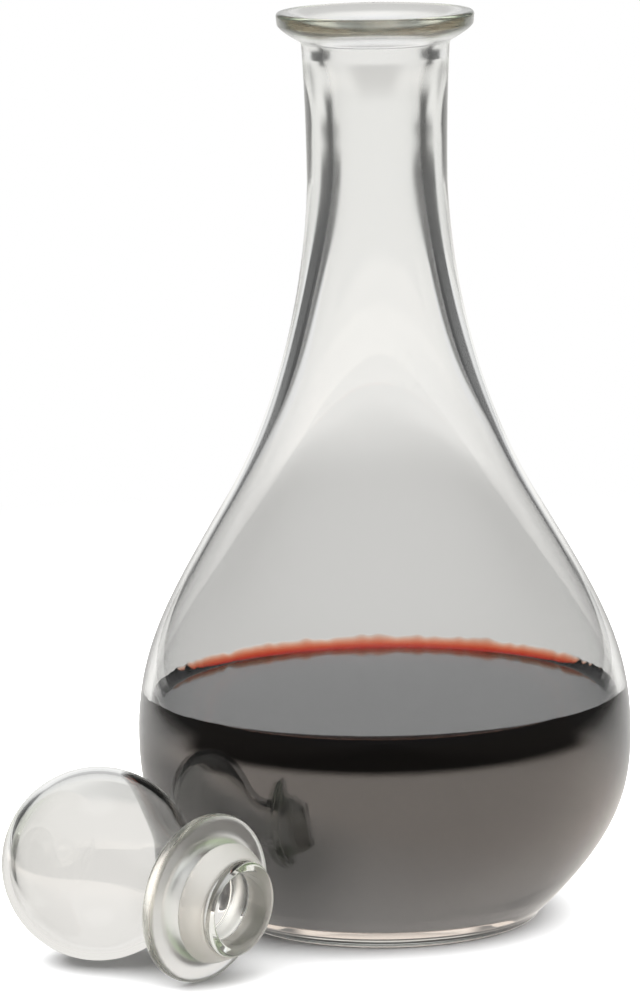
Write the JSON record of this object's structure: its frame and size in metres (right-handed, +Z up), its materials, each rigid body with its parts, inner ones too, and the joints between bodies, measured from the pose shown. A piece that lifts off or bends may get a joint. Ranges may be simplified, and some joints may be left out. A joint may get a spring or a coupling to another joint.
{
  "type": "glass decanter",
  "caption": "Clear glass decanter with a round belly, slim neck and collared mouth, holding red wine; its hollow ball stopper lies beside it.",
  "frame": {"origin": "centre of the decanter's foot, on the table it stands on", "axes": "+Z up the decanter's neck, +X to its right with the stopper lying at its front left, -Y towards its front"},
  "size_m": [0.1577, 0.1474, 0.23],
  "materials": {
    "glass": "polished",
    "wine": "liquid, dark red",
    "stopper_glass": "polished",
    "seal_plastic": "milky, satin"
  },
  "bodies": {
    "root": {"decanter": "glass", "wine": "wine", "stopper": "stopper_glass", "stopper_seal": "seal_plastic"}
  },
  "joints": []
}
